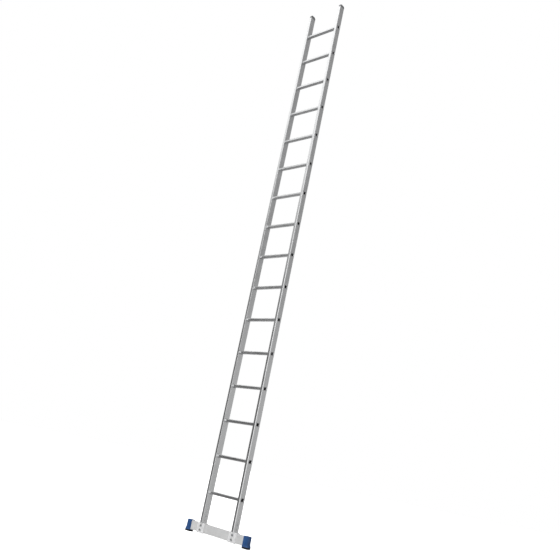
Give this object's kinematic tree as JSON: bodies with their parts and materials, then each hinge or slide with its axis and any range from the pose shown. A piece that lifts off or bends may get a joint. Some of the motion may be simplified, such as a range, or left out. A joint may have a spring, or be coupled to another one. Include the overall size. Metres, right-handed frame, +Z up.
{
  "type": "leaning ladder",
  "caption": "Straight single-section aluminium leaning ladder: two box stiles, hollow swaged rungs and a bolted stabiliser beam on rubber-soled end feet.",
  "frame": {"origin": "on the ground, midway between the two soles, in the middle of the ladder's depth", "axes": "+Z up the ladder along the stiles, +X to the climber's right along the rungs, -Y the side that is climbed"},
  "size_m": [0.68, 0.058, 4.758],
  "materials": {
    "aluminium": "extruded mill finish, fine lengthwise lines, satin",
    "cast_aluminium": "fine cast, tumbled, light satin",
    "zinc_steel": "bright zinc plate",
    "blue_plastic": "moulded, fine grain",
    "black_rubber": "matt, slightly dusty",
    "grey_plastic": "moulded, matt"
  },
  "bodies": {
    "root": {"left_stile": "aluminium", "left_top_cap": "grey_plastic", "left_saddle": "cast_aluminium", "left_saddle_bolt_lower": "zinc_steel", "left_saddle_front_washer_lower": "zinc_steel", "left_saddle_back_washer_lower": "zinc_steel", "left_saddle_nut_lower": "zinc_steel", "left_saddle_spacer_sleeve_lower": "zinc_steel", "left_saddle_rivet_lower": "zinc_steel", "left_saddle_bolt_upper": "zinc_steel", "left_saddle_front_washer_upper": "zinc_steel", "left_saddle_back_washer_upper": "zinc_steel", "left_saddle_nut_upper": "zinc_steel", "left_saddle_spacer_sleeve_upper": "zinc_steel", "left_saddle_rivet_upper": "zinc_steel", "left_foot_shell": "blue_plastic", "left_foot_sole": "black_rubber", "left_foot_screw": "zinc_steel", "right_stile": "aluminium", "right_top_cap": "grey_plastic", "right_saddle": "cast_aluminium", "right_saddle_bolt_lower": "zinc_steel", "right_saddle_front_washer_lower": "zinc_steel", "right_saddle_back_washer_lower": "zinc_steel", "right_saddle_nut_lower": "zinc_steel", "right_saddle_spacer_sleeve_lower": "zinc_steel", "right_saddle_rivet_lower": "zinc_steel", "right_saddle_bolt_upper": "zinc_steel", "right_saddle_front_washer_upper": "zinc_steel", "right_saddle_back_washer_upper": "zinc_steel", "right_saddle_nut_upper": "zinc_steel", "right_saddle_spacer_sleeve_upper": "zinc_steel", "right_saddle_rivet_upper": "zinc_steel", "right_foot_shell": "blue_plastic", "right_foot_sole": "black_rubber", "right_foot_screw": "zinc_steel", "stabiliser_beam": "aluminium", "rung_01": "aluminium", "rung_02": "aluminium", "rung_03": "aluminium", "rung_04": "aluminium", "rung_05": "aluminium", "rung_06": "aluminium", "rung_07": "aluminium", "rung_08": "aluminium", "rung_09": "aluminium", "rung_10": "aluminium", "rung_11": "aluminium", "rung_12": "aluminium", "rung_13": "aluminium", "rung_14": "aluminium", "rung_15": "aluminium", "rung_16": "aluminium"}
  },
  "joints": []
}
